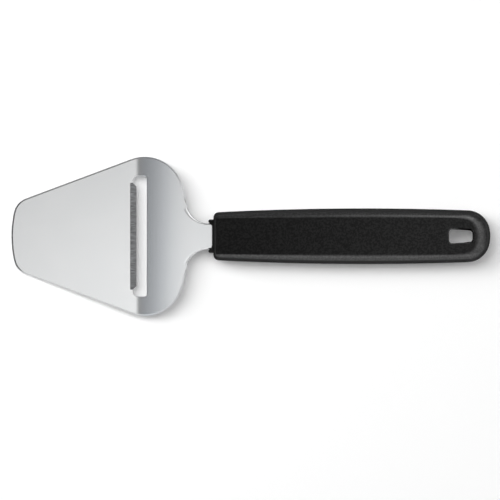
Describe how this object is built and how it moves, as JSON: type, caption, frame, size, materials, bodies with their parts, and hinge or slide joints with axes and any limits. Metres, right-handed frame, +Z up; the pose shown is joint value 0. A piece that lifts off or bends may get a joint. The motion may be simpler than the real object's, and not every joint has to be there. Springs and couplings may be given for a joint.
{
  "type": "cheese slicer",
  "caption": "Hand cheese slicer: spade-shaped stainless blade with a ground slicing slot, a flanged neck in a collar, and a slim black moulded handle with a hang hole.",
  "frame": {"origin": "on the table, under the middle of the tool's overall box", "axes": "+X from the blade's nose to the handle's end, +Y across the blade, +Z up out of the blade's serving side"},
  "size_m": [0.225, 0.0746, 0.0128],
  "materials": {
    "stainless_sheet": "satin stainless sheet with a cross-ground cutting bevel",
    "collar_plastic": "smooth black moulding",
    "grip_plastic": "black moulding, finely grained panels and smoother shoulders"
  },
  "bodies": {
    "root": {"blade": "stainless_sheet", "collar": "collar_plastic", "handle": "grip_plastic"}
  },
  "joints": []
}
